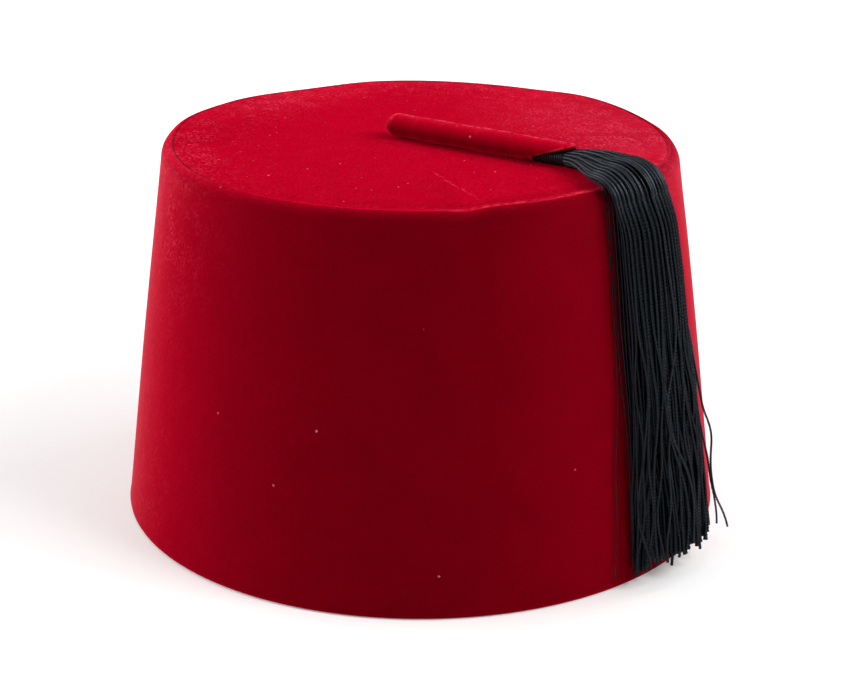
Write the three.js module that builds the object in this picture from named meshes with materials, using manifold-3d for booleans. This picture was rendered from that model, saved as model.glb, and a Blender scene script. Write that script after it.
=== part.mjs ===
import * as THREE from "three";
import { mergeVertices } from "three/addons/utils/BufferGeometryUtils.js";
import Module from "manifold-3d";

// A fez: a stiff, brimless hat in red velvet, open below, with a velvet stem on its crown that a black tassel hangs
// from. Lengths are in millimetres, angles in degrees. +Z is up and the rim stands on z = 0. Azimuths are counted about
// the hat's axis from +X, the side that the tassel hangs on.

// Driving dimensions of the hat's body
const RIM_RADIUS = 96;
const CROWN_RADIUS = 81;
const HEIGHT = 118.2;
const WALL = 3;
const WAIST = 0.6;
const WAIST_FROM = 50;
const CORNER_RADIUS = 4;
const SEAM_GAP = 0.3;
const TIP_THICKNESS = 2.6;
const HAT_SIDES = 72;

// Driving dimensions of the stem, a rolled sleeve that lies on the crown along X
const STEM_RADIUS = 3.7;
const STEM_SQUASH = 0.9;
const STEM_INNER_END = -10;
const STEM_OUTER_END = 58.5;
const STEM_OFFSET = -3.4;
const STEM_SIDES = 20;
const SLEEVE_DEPTH = 24;
const SLEEVE_WALL = 1;
const MOUTH_BACK = 40;

// Driving dimensions of the tassel
const NECK_RADIUS = 2;
const NECK_START = 43.6;
const NECK_END = 60;
const WINDING_PITCH = 1.5;
const WINDING_DEPTH = 0.25;
const LOCK_RADIUS = 1.9;
const LOCK_WIDENING = 1.5;
const LOCK_SIDES = 8;
const REST_GAP = 0.3;

// The middle of the footprint, tassel included, lies this far out from the hat's axis
const FOOTPRINT_MIDDLE = 2.8;

// How far the crown's edge stands above or below its mean height round the hat
const EDGE = [
  { azimuth: -180, rise: 0.5 },
  { azimuth: -160, rise: 1.1 },
  { azimuth: -148, rise: 0.6 },
  { azimuth: -136, rise: -0.2 },
  { azimuth: -90, rise: -0.25 },
  { azimuth: -54, rise: -0.2 },
  { azimuth: -38, rise: 0.45 },
  { azimuth: -5, rise: 0.5 },
  { azimuth: 10, rise: -0.2 },
  { azimuth: 30, rise: -1.9 },
  { azimuth: 50, rise: -1 },
  { azimuth: 80, rise: 0.2 },
  { azimuth: 96, rise: -0.5 },
  { azimuth: 136, rise: 0.15 },
  { azimuth: 154, rise: -0.45 },
  { azimuth: 180, rise: 0.5 },
];

// How far in over the crown and down the side that unevenness fades out
const EDGE_INWARD_TO = 44;
const EDGE_DOWN_TO = 85;

// One pleat, where the crown's edge is tucked in at the front
const PLEAT = { azimuth: -46, halfWidth: 4, depth: 0.7 };

// A lock's radius along its length, as a share of LOCK_RADIUS
const LOCK_TAPER = [
  { share: 0, swell: 0 },
  { share: 0.01, swell: 0.5 },
  { share: 0.05, swell: 0.7 },
  { share: 0.1, swell: 0.88 },
  { share: 0.14, swell: 0.96 },
  { share: 0.17, swell: 1 },
  { share: 0.2, swell: 1.02 },
  { share: 0.24, swell: 1.02 },
  { share: 0.3, swell: 1 },
  { share: 0.4, swell: 0.97 },
  { share: 0.5, swell: 1 },
  { share: 0.62, swell: 1.06 },
  { share: 0.74, swell: 1.08 },
  { share: 0.85, swell: 1 },
  { share: 0.94, swell: 0.78 },
  { share: 0.985, swell: 0.45 },
  { share: 1, swell: 0 },
];

// The tassel's course over the crown, round the corner and down the side. reach is the distance from the hat's axis,
// slope is how steeply the cloth below faces up, middle is the azimuth of the bundle's middle, half is its half width
// and layers are the distances of the two layers of locks from the cloth
const COURSE_ON_CROWN = [
  { reach: 56, middle: -3.6, half: 0.8, layers: [2.2, 2.8] },
  { reach: 62, middle: -4.5, half: 3, layers: [3, 4.7] },
  { reach: 69, middle: -6.4, half: 6, layers: [3.3, 6] },
];
const COURSE_ROUND_CORNER = [
  { slope: 80, middle: -7.6, half: 7.4, layers: [3.2, 6] },
  { slope: 45, middle: -7.9, half: 8, layers: [3.3, 6] },
  { slope: 15, middle: -7.9, half: 8.2, layers: [3, 5.7] },
];
const COURSE_ON_SIDE = [
  { height: 110, middle: -7.7, half: 8.4 },
  { height: 98, middle: -6.6, half: 9.3 },
  { height: 80, middle: -5.4, half: 10.4 },
  { height: 50, middle: -4.6, half: 11.4 },
  { height: 24, middle: -4.5, half: 13.6 },
];
const COURSE_END = { middle: -4.6, half: 16.2 };
const SIDE_LAYERS = [2.6, 5.3];

// Where each lock lies across the bundle, from -1 to 1, and how high above the rim's level it ends
const INNER_LOCKS = [
  { across: -1, end: 5 },
  { across: -0.68, end: 2.2 },
  { across: -0.35, end: 4 },
  { across: 0, end: 1.6 },
  { across: 0.34, end: 3.2 },
  { across: 0.67, end: 7 },
  { across: 1, end: 3.4 },
];
const OUTER_LOCKS = [
  { across: -0.8, end: 3.5 },
  { across: -0.48, end: 8 },
  { across: -0.16, end: 2.4 },
  { across: 0.17, end: 5.5 },
  { across: 0.5, end: 1.8 },
  { across: 0.82, end: 5 },
];

const velvet = { color: 0xa80a22, roughness: 0.9, metalness: 0 };
const thread = { color: 0x111318, roughness: 0.75, metalness: 0 };

const wasm = await Module();
wasm.setup();

const radians = THREE.MathUtils.degToRad;
const degrees = THREE.MathUtils.radToDeg;
const smooth = THREE.MathUtils.smoothstep;

// The side's outer radius at a height: a cone that is drawn in a little towards the crown
function sideRadius(height) {
  const cone = THREE.MathUtils.lerp(RIM_RADIUS, CROWN_RADIUS, height / HEIGHT);
  return cone - WAIST * smooth(height, WAIST_FROM, HEIGHT);
}

const SIDE_SLOPE = degrees(Math.atan((RIM_RADIUS - CROWN_RADIUS) / HEIGHT));
const CORNER_HEIGHT = HEIGHT - CORNER_RADIUS;
const CORNER_CENTRE = sideRadius(CORNER_HEIGHT) - CORNER_RADIUS / Math.cos(radians(SIDE_SLOPE));

// The crown's edge height at an azimuth, above its mean
function edgeRise(azimuth) {
  const next = EDGE.findIndex((row) => row.azimuth >= azimuth);
  const high = EDGE[Math.max(next, 1)];
  const low = EDGE[Math.max(next, 1) - 1];
  const rise = THREE.MathUtils.lerp(low.rise, high.rise, smooth(azimuth, low.azimuth, high.azimuth));
  const offPleat = (azimuth - PLEAT.azimuth) / PLEAT.halfWidth;
  return rise - PLEAT.depth * Math.exp(-offPleat * offPleat);
}

// How much of that unevenness a point of the hat's body takes up: none at the middle of the crown and low on the side,
// all of it at the edge
function edgeShare(radius, height) {
  return smooth(radius, EDGE_INWARD_TO, CORNER_CENTRE) * smooth(height, EDGE_DOWN_TO, CORNER_HEIGHT);
}

// Makes the edge of a shape about the hat's axis uneven
function unevenEdge(geometry) {
  const position = geometry.getAttribute("position");
  for (let i = 0; i < position.count; i += 1) {
    const [x, y, z] = [position.getX(i), position.getY(i), position.getZ(i)];
    const share = edgeShare(Math.hypot(x, y), z);
    if (share > 0) position.setZ(i, z + edgeRise(degrees(Math.atan2(y, x))) * share);
  }
  return geometry;
}

// A solid turned about the Z axis
function turned(profile, sides) {
  const points = profile.map(([radius, height]) => new THREE.Vector2(radius, height));
  return new THREE.LatheGeometry(points, sides).rotateX(Math.PI / 2);
}

// Points of the rolled corner, from the side's slope up to level
function cornerArc(radius, steps) {
  return Array.from({ length: steps + 1 }, (_, step) => {
    const angle = radians(THREE.MathUtils.lerp(SIDE_SLOPE, 90, step / steps));
    return [CORNER_CENTRE + radius * Math.cos(angle), CORNER_HEIGHT + radius * Math.sin(angle)];
  });
}

// The velvet side: a wall that leans in from the rim and rolls over to the crown's seam
function sideWall() {
  const heights = [0, 20, 50, 70, 85, 100];
  const outside = heights.map((height) => [sideRadius(height), height]);
  const inside = heights.map((height) => [sideRadius(height) - WALL, height]);
  const profile = [
    ...outside,
    ...cornerArc(CORNER_RADIUS, 6),
    ...cornerArc(CORNER_RADIUS - WALL, 3).reverse(),
    ...inside.reverse(),
    outside[0],
  ];
  return unevenEdge(turned(profile, HAT_SIDES));
}

// The crown's round tip, sewn in level with the rolled edge
function crownTip() {
  const edge = CORNER_CENTRE - SEAM_GAP;
  const chamfer = 0.5;
  const under = HEIGHT - TIP_THICKNESS;
  const rings = [56, 64, 70];
  const profile = [
    [0, under],
    [EDGE_INWARD_TO, under],
    ...rings.map((radius) => [radius, under]),
    [edge, under],
    [edge, HEIGHT - chamfer],
    [edge - chamfer, HEIGHT],
    ...rings.map((radius) => [radius, HEIGHT]).reverse(),
    [EDGE_INWARD_TO, HEIGHT],
    [0, HEIGHT],
  ];
  return unevenEdge(turned(profile, HAT_SIDES));
}

// A geometry as a solid that can be joined and cut, and a solid as a geometry
function solid(geometry) {
  const bare = geometry.clone();
  bare.deleteAttribute("normal");
  bare.deleteAttribute("uv");
  const merged = mergeVertices(bare, 1e-3);
  const vertProperties = new Float32Array(merged.getAttribute("position").array);
  const triVerts = new Uint32Array(merged.index.array);
  return new wasm.Manifold(new wasm.Mesh({ numProp: 3, vertProperties, triVerts }));
}

function geometryOf(body) {
  const mesh = body.getMesh();
  const geometry = new THREE.BufferGeometry();
  geometry.setAttribute("position", new THREE.BufferAttribute(mesh.vertProperties, 3));
  geometry.setIndex(new THREE.BufferAttribute(mesh.triVerts, 1));
  geometry.computeVertexNormals();
  return geometry;
}

// Lays a solid that was turned about Z along X
function alongX(geometry, y, z) {
  return geometry.rotateY(Math.PI / 2).translate(0, y, z);
}

const STEM_AXIS_HEIGHT = HEIGHT + REST_GAP + STEM_RADIUS * STEM_SQUASH;
const NECK_AXIS_HEIGHT = HEIGHT + REST_GAP + NECK_RADIUS + WINDING_DEPTH;

// The stem: a closed round end, then a sleeve whose mouth is cut away aslant below, where the tassel's neck comes out
function stem() {
  const endSteps = 5;
  const roundEnd = Array.from({ length: endSteps }, (_, step) => {
    const angle = radians((90 * (step + 1)) / endSteps);
    return [STEM_RADIUS * Math.sin(angle), STEM_INNER_END + STEM_RADIUS * (1 - Math.cos(angle))];
  });
  const outline = [[0, STEM_INNER_END], ...roundEnd, [STEM_RADIUS, STEM_OUTER_END], [0, STEM_OUTER_END]];
  const roll = turned(outline, STEM_SIDES).scale(STEM_SQUASH, 1, 1);
  const rolled = solid(alongX(roll, STEM_OFFSET, STEM_AXIS_HEIGHT));

  const boreRadius = STEM_RADIUS - SLEEVE_WALL;
  const boreStart = STEM_OUTER_END - SLEEVE_DEPTH;
  const boreOutline = [[0, boreStart], [boreRadius, boreStart], [boreRadius, STEM_OUTER_END + 1], [0, STEM_OUTER_END + 1]];
  const bore = solid(alongX(turned(boreOutline, STEM_SIDES).scale(STEM_SQUASH, 1, 1), STEM_OFFSET, STEM_AXIS_HEIGHT));

  const mouthLength = STEM_OUTER_END - MOUTH_BACK;
  const mouthRise = 2 * STEM_RADIUS * STEM_SQUASH;
  const wedge = new THREE.Shape();
  wedge.moveTo(MOUTH_BACK, HEIGHT);
  wedge.lineTo(MOUTH_BACK + 1.5 * mouthLength, HEIGHT);
  wedge.lineTo(MOUTH_BACK + 1.5 * mouthLength, HEIGHT + 1.5 * mouthRise);
  wedge.quadraticCurveTo(MOUTH_BACK + 0.45 * mouthLength, HEIGHT + 0.95 * mouthRise, MOUTH_BACK, HEIGHT);
  const width = 4 * STEM_RADIUS;
  const cut = new THREE.ExtrudeGeometry(wedge, { depth: width, bevelEnabled: false, curveSegments: 6 });
  cut.rotateX(Math.PI / 2).translate(0, STEM_OFFSET + width / 2, 0);
  return geometryOf(rolled.subtract(bore).subtract(solid(cut)));
}

// The surface point, outward direction and layer distances of the tassel's course at one station and place across it
function station(row, across) {
  const azimuth = radians(row.middle) + (across * row.half) / row.reach;
  const level = Math.cos(radians(row.slope));
  const outward = new THREE.Vector3(
    level * Math.cos(azimuth),
    level * Math.sin(azimuth),
    Math.sin(radians(row.slope)),
  );
  const height = row.height + edgeRise(degrees(azimuth)) * edgeShare(row.reach, row.height);
  const cloth = new THREE.Vector3(row.reach * Math.cos(azimuth), row.reach * Math.sin(azimuth), height);
  return { outward, cloth };
}

// One lock of the tassel: a tapered round solid bent along the course, wider than it is thick
function lock({ across, end }, layer) {
  const ending = { ...COURSE_END, height: end };
  const onCrown = COURSE_ON_CROWN.map((row) => ({ ...row, height: HEIGHT, slope: 90 }));
  const roundCorner = COURSE_ROUND_CORNER.map((row) => ({
    ...row,
    reach: CORNER_CENTRE + CORNER_RADIUS * Math.cos(radians(row.slope)),
    height: CORNER_HEIGHT + CORNER_RADIUS * Math.sin(radians(row.slope)),
  }));
  const onSide = [...COURSE_ON_SIDE, ending].map((row) => ({
    ...row,
    reach: sideRadius(row.height),
    slope: SIDE_SLOPE,
    layers: SIDE_LAYERS,
  }));
  const rows = [...onCrown, ...roundCorner, ...onSide];
  const stations = rows.map((row) => ({ row, ...station(row, across) }));
  const route = new THREE.CatmullRomCurve3(
    stations.map(({ row, outward, cloth }) => cloth.clone().addScaledVector(outward, row.layers[layer])),
    false,
    "centripetal",
  );
  const straight = new THREE.LatheGeometry(
    LOCK_TAPER.map(({ share, swell }) => new THREE.Vector2(LOCK_RADIUS * swell, share)),
    LOCK_SIDES,
  );
  const position = straight.getAttribute("position");
  for (let i = 0; i < position.count; i += 1) {
    const share = THREE.MathUtils.clamp(position.getY(i), 0, 1);
    const centre = route.getPointAt(share);
    const along = route.getTangentAt(share);
    const up = new THREE.Vector3(0, 0, 1);
    const out = new THREE.Vector3(centre.x, centre.y, 0).normalize();
    const outward = up.multiplyScalar(Math.max(0, out.dot(along))).addScaledVector(out, Math.max(0, -along.z));
    outward.addScaledVector(along, -outward.dot(along)).normalize();
    const sideways = new THREE.Vector3().crossVectors(along, outward);
    const widening = THREE.MathUtils.lerp(1, LOCK_WIDENING, smooth(share, 0, 0.2));
    const point = centre
      .addScaledVector(sideways, position.getX(i) * widening)
      .addScaledVector(outward, position.getZ(i));
    position.setXYZ(i, point.x, point.y, point.z);
  }
  return solid(straight);
}

// The tassel: a neck bound round with thread, fused with two layers of locks that fall over the edge. Only the outer
// shell is kept, so that no pocket of air stays shut in between the locks
function tassel() {
  const turns = Math.round((NECK_END - NECK_START) / WINDING_PITCH);
  const windings = Array.from({ length: 2 * turns }, (_, half) => [
    NECK_RADIUS + (half % 2 ? WINDING_DEPTH : 0),
    NECK_START + ((half + 0.5) * WINDING_PITCH) / 2,
  ]);
  const outline = [[0, NECK_START], [0.7 * NECK_RADIUS, NECK_START], ...windings, [0, NECK_END]];
  const neckSides = 12;
  let bundle = solid(alongX(turned(outline, neckSides), STEM_OFFSET, NECK_AXIS_HEIGHT));
  for (const row of INNER_LOCKS) bundle = bundle.add(lock(row, 0));
  for (const row of OUTER_LOCKS) bundle = bundle.add(lock(row, 1));
  const [filled] = bundle.decompose().filter((shell) => shell.volume() > 0);
  return geometryOf(filled);
}

// A named piece of the hat
function piece(name, geometry, finish) {
  const mesh = new THREE.Mesh(geometry, new THREE.MeshStandardMaterial(finish));
  mesh.name = name;
  return mesh;
}

const hat = new THREE.Group();
hat.add(piece("side_wall", sideWall(), velvet));
hat.add(piece("crown_tip", crownTip(), velvet));
hat.add(piece("stem", stem(), velvet));
hat.add(piece("tassel", tassel(), thread));
hat.position.x = -FOOTPRINT_MIDDLE;

export default hat;
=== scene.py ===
"""The looks of a red velvet fez with a black tassel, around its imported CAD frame.

Lengths in this script are in millimetres, in the CAD frame, until place() turns them into Blender's metres.
Azimuths are degrees about the hat's axis, counted from +X, the side that the tassel hangs on.
"""

import math

import bpy
import numpy as np
from mathutils import Matrix, Vector


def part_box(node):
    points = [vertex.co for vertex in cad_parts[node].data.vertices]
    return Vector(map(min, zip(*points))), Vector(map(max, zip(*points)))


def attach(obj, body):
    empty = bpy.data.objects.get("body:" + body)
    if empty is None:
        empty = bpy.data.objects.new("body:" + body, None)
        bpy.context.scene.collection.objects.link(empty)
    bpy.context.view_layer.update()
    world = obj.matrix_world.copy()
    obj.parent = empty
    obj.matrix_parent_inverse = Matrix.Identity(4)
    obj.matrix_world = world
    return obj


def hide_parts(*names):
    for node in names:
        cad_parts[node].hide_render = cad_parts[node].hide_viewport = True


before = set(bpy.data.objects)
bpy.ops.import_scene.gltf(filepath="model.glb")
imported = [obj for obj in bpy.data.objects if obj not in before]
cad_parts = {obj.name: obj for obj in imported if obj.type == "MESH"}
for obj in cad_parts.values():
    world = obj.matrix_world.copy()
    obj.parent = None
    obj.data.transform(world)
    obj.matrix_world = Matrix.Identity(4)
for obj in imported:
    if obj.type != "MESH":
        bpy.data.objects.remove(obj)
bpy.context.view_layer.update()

MM = 0.001
wall_low, wall_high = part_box("side_wall")
AXIS_X = (wall_low.x + wall_high.x) / 2 / MM
AXIS_Y = (wall_low.y + wall_high.y) / 2 / MM

# The hat's body, as in the CAD model
RIM_RADIUS = 96.0
CROWN_RADIUS = 81.0
HEIGHT = 118.2
WALL = 3.0
WAIST = 0.6
WAIST_FROM = 50.0
CORNER_RADIUS = 4.0
SIDE_SLOPE = math.atan((RIM_RADIUS - CROWN_RADIUS) / HEIGHT)
TIP_THICKNESS = 2.6

# The crown's edge above its mean height round the hat, and one pleat in it, as in the CAD model
EDGE_AZIMUTH = [-180, -160, -148, -136, -90, -54, -38, -5, 10, 30, 50, 80, 96, 136, 154, 180]
EDGE_RISE = [0.5, 1.1, 0.6, -0.2, -0.25, -0.2, 0.45, 0.5, -0.2, -1.9, -1.0, 0.2, -0.5, 0.15, -0.45, 0.5]
PLEAT_AZIMUTH = -46.0
PLEAT_HALF_WIDTH = 4.0
PLEAT_DEPTH = 0.7
EDGE_INWARD_TO = 44.0
EDGE_DOWN_TO = 85.0

# The stem, as in the CAD model but for its pile and its ridge
STEM_RADIUS = 3.7
STEM_SQUASH = 0.9
STEM_INNER_END = -10.0
STEM_OUTER_END = 58.5
STEM_OFFSET = -3.4
SLEEVE_WALL = 1.0
SLEEVE_DEPTH = 24.0
MOUTH_BACK = 40.0
REST_GAP = 0.3
STEM_PILE = 0.2
STEM_RIDGE_ANGLE = 193.0
STEM_RIDGE = 0.35

# The photograph's camera, in the same millimetres about the hat's axis
CAMERA_PLACE = (345.6, -497.5, 278.8)
CAMERA_TURN = 34.5
CAMERA_PITCH = 20.94
CAMERA_ROLL = 0.153
CAMERA_LENS = 83.33
CAMERA_SENSOR = 36.0

# The studio, in metres and watts: the floor's half width, where its own glow grows, the point that the lights
# are turned to, and each light's place, size and power
FLOOR_HALF = 4.0
FLOOR_GLOW_FROM = 0.3
FLOOR_GLOW_TO = 0.9
HAT_MIDDLE = (0, 0, 0.07)
LIGHTS = {
    "top_light": ((-0.25, 0.1, 1.3), (1.0, 1.0), 7.0),
    "back_light": ((0.45, 0.75, 0.95), (0.5, 0.5), 3.5),
    "bend_light": ((0.8, 0.1, 0.9), (0.5, 0.5), 8.0),
    "right_light": ((0.8, 0.45, 0.6), (0.5, 0.5), 3.2),
    "left_light": ((-1.25, 0.0, 0.5), (0.9, 1.1), 8.0),
    "front_left_light": ((-1.1, -0.75, 0.35), (0.9, 0.9), 16.0),
}


def smooth(value, low, high):
    """0 below low, 1 above high and a smooth step between them."""
    share = np.clip((value - low) / (high - low), 0, 1)
    return share * share * (3 - 2 * share)


def side_radius(height):
    """The side's outer radius at a height."""
    cone = RIM_RADIUS + (CROWN_RADIUS - RIM_RADIUS) * height / HEIGHT
    return cone - WAIST * smooth(height, WAIST_FROM, HEIGHT)


CORNER_HEIGHT = HEIGHT - CORNER_RADIUS
CORNER_CENTRE = float(side_radius(CORNER_HEIGHT)) - CORNER_RADIUS / math.cos(SIDE_SLOPE)


def edge_rise(azimuth):
    """The crown's edge above its mean height at azimuths in degrees, from -180 to 180."""
    azimuth = np.asarray(azimuth, float)
    after = np.clip(np.searchsorted(EDGE_AZIMUTH, azimuth), 1, len(EDGE_AZIMUTH) - 1)
    from_row, to_row = np.array(EDGE_AZIMUTH)[after - 1], np.array(EDGE_AZIMUTH)[after]
    share = smooth(azimuth, from_row, to_row)
    rise = np.array(EDGE_RISE)
    pleat = PLEAT_DEPTH * np.exp(-(((azimuth - PLEAT_AZIMUTH) / PLEAT_HALF_WIDTH) ** 2))
    return rise[after - 1] * (1 - share) + rise[after] * share - pleat


def edge_share(radius, height):
    """How much of that unevenness a point of the body takes up."""
    return smooth(radius, EDGE_INWARD_TO, CORNER_CENTRE) * smooth(height, EDGE_DOWN_TO, CORNER_HEIGHT)


def wrapped(azimuth):
    """An azimuth brought into -180 to 180."""
    return (np.asarray(azimuth, float) + 180) % 360 - 180


def unit(vectors):
    """Rows of vectors brought to length one."""
    return vectors / np.linalg.norm(vectors, axis=1, keepdims=True)


# Meshes
def place(points):
    """Points in millimetres about the hat's axis, as Blender coordinates in the CAD frame."""
    return (np.asarray(points, float) + (AXIS_X, AXIS_Y, 0)) * MM


def mesh_object(name, points, faces, materials, marks):
    """A smooth-shaded mesh object. marks is a dictionary of named numbers, one for each point."""
    mesh = bpy.data.meshes.new(name)
    mesh.from_pydata(place(points).tolist(), [], faces)
    mesh.polygons.foreach_set("use_smooth", [True] * len(mesh.polygons))
    for mark, values in marks.items():
        attribute = mesh.attributes.new(mark, "FLOAT", "POINT")
        attribute.data.foreach_set("value", np.asarray(values, np.float32).ravel())
    for material in materials:
        mesh.materials.append(material)
    mesh.update()
    piece = bpy.data.objects.new(name, mesh)
    bpy.context.scene.collection.objects.link(piece)
    return piece


def loop_faces(rows, columns, closed_rows=False):
    """Faces of a grid whose columns close on themselves, as a tube's do."""
    row = np.arange(rows if closed_rows else rows - 1)[:, None] * columns
    next_row = (row + columns) % (rows * columns)
    column = np.arange(columns)[None, :]
    next_column = (column + 1) % columns
    quads = np.stack([row + column, row + next_column, next_row + next_column, next_row + column], -1)
    return quads.reshape(-1, 4).tolist()


def pole_faces(rows, columns):
    """Faces of a tube whose ends close on two poles, the points that follow the grid's."""
    first_pole, last_pole, last = rows * columns, rows * columns + 1, (rows - 1) * columns
    faces = loop_faces(rows, columns)
    faces += [(first_pole, (c + 1) % columns, c) for c in range(columns)]
    faces += [(last_pole, last + c, last + (c + 1) % columns) for c in range(columns)]
    return faces


def flat_end_faces(rows, columns):
    """Faces of a tube whose ends are one flat face each."""
    last = (rows - 1) * columns
    return loop_faces(rows, columns) + [tuple(reversed(range(columns))), tuple(range(last, last + columns))]


def rings(path, radius, normal, side, angle):
    """A ring of points about each point of a path, at angles counted from its normal towards its side."""
    towards = np.cos(angle)[..., None] * normal[:, None, :] + np.sin(angle)[..., None] * side[:, None, :]
    return path[:, None, :] + radius * towards


def joined(name, parts, material):
    """One object out of several parts, each with its points, faces and tone, painted highlights included."""
    points, faces, tones, start = [], [], [], 0
    for part_points, part_faces, tone_and_highlight in parts:
        points.append(part_points)
        faces += [tuple(index + start for index in face) for face in part_faces]
        tones.append(np.full(len(part_points), tone_and_highlight))
        start += len(part_points)
    return mesh_object(name, np.vstack(points), faces, [material], {"tone_and_highlight": np.concatenate(tones)})


# Small helpers for materials
def new_material(name):
    material = bpy.data.materials.new(name)
    material.use_nodes = True
    return material, material.node_tree, material.node_tree.nodes["Principled BSDF"]


def set_inputs(tree, node, inputs):
    """Sets a node's inputs to values, or links them from other nodes' outputs."""
    for key, value in inputs.items():
        if isinstance(value, bpy.types.NodeSocket):
            tree.links.new(value, node.inputs[key])
        else:
            node.inputs[key].default_value = value


def add_node(tree, kind, inputs=None, **settings):
    """A node with its settings and inputs."""
    node = tree.nodes.new(kind)
    for key, value in settings.items():
        setattr(node, key, value)
    set_inputs(tree, node, inputs or {})
    return node


def object_place(tree):
    return add_node(tree, "ShaderNodeTexCoord").outputs["Object"]


def mark_value(tree, mark):
    """A number that the mesh carries at each point."""
    return add_node(tree, "ShaderNodeAttribute", attribute_name=mark).outputs["Fac"]


def noise(tree, where, scale, detail=2.0, roughness=0.5, distortion=0.0):
    inputs = {"Vector": where, "Scale": scale, "Detail": detail, "Roughness": roughness}
    inputs["Distortion"] = distortion
    return add_node(tree, "ShaderNodeTexNoise", inputs).outputs["Fac"]


def ramp(tree, value, low, high, to_low=0.0, to_high=1.0):
    """to_low up to low, to_high from high on and a straight slope between them."""
    inputs = {"Value": value, "From Min": low, "From Max": high, "To Min": to_low, "To Max": to_high}
    return add_node(tree, "ShaderNodeMapRange", inputs, clamp=True).outputs["Result"]


def math_node(tree, operation, first, second=0.0):
    return add_node(tree, "ShaderNodeMath", {0: first, 1: second}, operation=operation).outputs[0]


def product(tree, first, second):
    return math_node(tree, "MULTIPLY", first, second)


def vector_node(tree, operation, first, second, output="Vector"):
    return add_node(tree, "ShaderNodeVectorMath", {0: first, 1: second}, operation=operation).outputs[output]


def mix_colour(tree, share, first, second):
    return add_node(tree, "ShaderNodeMix", {0: share, 6: first, 7: second}, data_type="RGBA").outputs[2]


def bump(tree, strength, depth, height):
    """The normal of a surface raised by a height from 0 to 1, at most depth in metres."""
    inputs = {"Strength": strength, "Distance": depth, "Height": height}
    return add_node(tree, "ShaderNodeBump", inputs).outputs["Normal"]


# The velvet's colours
NAP_DARK = (0.074, 0.0001, 0.0013, 1)
NAP_LIGHT = (0.100, 0.0001, 0.0019, 1)
NAP_GRAIN = (0.140, 0.0003, 0.0045, 1)
NAP_PAINTED_LIGHT = (0.27, 0.0006, 0.0075, 1)
NAP_WORN_AND_SHEEN = (0.42, 0.044, 0.082, 1)
NAP_CRUSHED_AND_HIGHLIGHT = (0.62, 0.055, 0.105, 1)
NAP_PAINTED_RIM_SHEEN = (0.42, 0.22, 0.25, 1)
NAP_SHEEN = (1.0, 0.0008, 0.036, 1)
LINT = (0.75, 0.24, 0.30, 1)

# The colours of the cloth's back and of the thread
BACK_DARK = (0.16, 0.003, 0.012, 1)
BACK_LIGHT = (0.26, 0.008, 0.024, 1)
THREAD_DARK = (0.0011, 0.0013, 0.0020, 1)
THREAD_LIGHT = (0.0240, 0.0255, 0.0310, 1)
THREAD_FIBRE = (0.0090, 0.0100, 0.0130, 1)
THREAD_GLOSS = (0.67, 0.83, 1.0, 1)
THREAD_SHEEN = (0.6, 0.66, 0.78, 1)

# One sharp pleat line and some soft creases in the crown's nap, in millimetres about the hat's axis: from,
# to, half width, strength and how ragged they are
PLEAT_LINE = ((25.2, -30.4), (50.1, -45.7), 0.34, 0.55, 1.6)
CROWN_CREASES = [
    ((-44.7, -60.7), (-41.3, -52.7), 1.3, 0.30, 0.8),
    ((-38.4, -64.4), (-32.8, -59.1), 1.2, 0.28, 0.8),
    ((-75.1, 13.9), (-46.3, 13.9), 3.2, 0.34, 1.6),
    ((-74.0, 0.9), (-58.0, -4.0), 2.6, 0.26, 1.4),
    ((23.9, 25.1), (27.0, 50.4), 2.0, 0.26, 1.2),
    ((34.5, 29.5), (35.4, 47.5), 1.8, 0.22, 1.2),
    ((50.0, 22.8), (55.2, 41.2), 2.2, 0.24, 1.2),
]


def crease_mask(tree, where, wobble, crease):
    """The strength along a line drawn on the crown, fading out over its half width and past its ends."""
    (start_x, start_y), (end_x, end_y), half_width, strength, ragged = crease
    start = place([(start_x, start_y, 0)])[0]
    length = math.hypot(end_x - start_x, end_y - start_y)
    along = ((end_x - start_x) / length, (end_y - start_y) / length, 0)
    across = (-along[1], along[0], 0)
    offset = vector_node(tree, "SUBTRACT", where, tuple(start))
    to_along = vector_node(tree, "DOT_PRODUCT", offset, along, "Value")
    to_side = vector_node(tree, "DOT_PRODUCT", offset, across, "Value")
    wave = product(tree, wobble, ragged * 2 * MM)
    away = math_node(tree, "ABSOLUTE", math_node(tree, "ADD", to_side, wave))
    body = ramp(tree, away, 0.2 * half_width * MM, 1.6 * half_width * MM, strength, 0.0)
    past_start = ramp(tree, to_along, -2.5 * MM, 3.5 * MM)
    past_end = ramp(tree, to_along, (length - 3.5) * MM, (length + 2.5) * MM, 1.0, 0.0)
    return product(tree, body, product(tree, past_start, past_end))


def lint_mask(tree, where, dimensions, scale, size, left_out):
    """Tiny specks of lint: one at the middle of some cells, each with its own paleness."""
    drift = add_node(tree, "ShaderNodeTexNoise", {"Vector": where, "Scale": 1500.0}).outputs["Color"]
    drift = add_node(tree, "ShaderNodeVectorMath", {0: drift, "Scale": 0.0005}, operation="SCALE").outputs[0]
    inputs = {"Vector": vector_node(tree, "ADD", where, drift), "Scale": scale}
    cells = add_node(tree, "ShaderNodeTexVoronoi", inputs, voronoi_dimensions=dimensions)
    chosen = add_node(tree, "ShaderNodeSeparateColor", {0: cells.outputs["Color"]})
    speck = ramp(tree, cells.outputs["Distance"], size * 0.6, size * 1.3, 1.0, 0.0)
    paleness = ramp(tree, chosen.outputs[1], 0.0, 1.0, 0.2, 0.9)
    kept = math_node(tree, "GREATER_THAN", chosen.outputs[0], left_out)
    return product(tree, product(tree, speck, paleness), kept)


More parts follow.
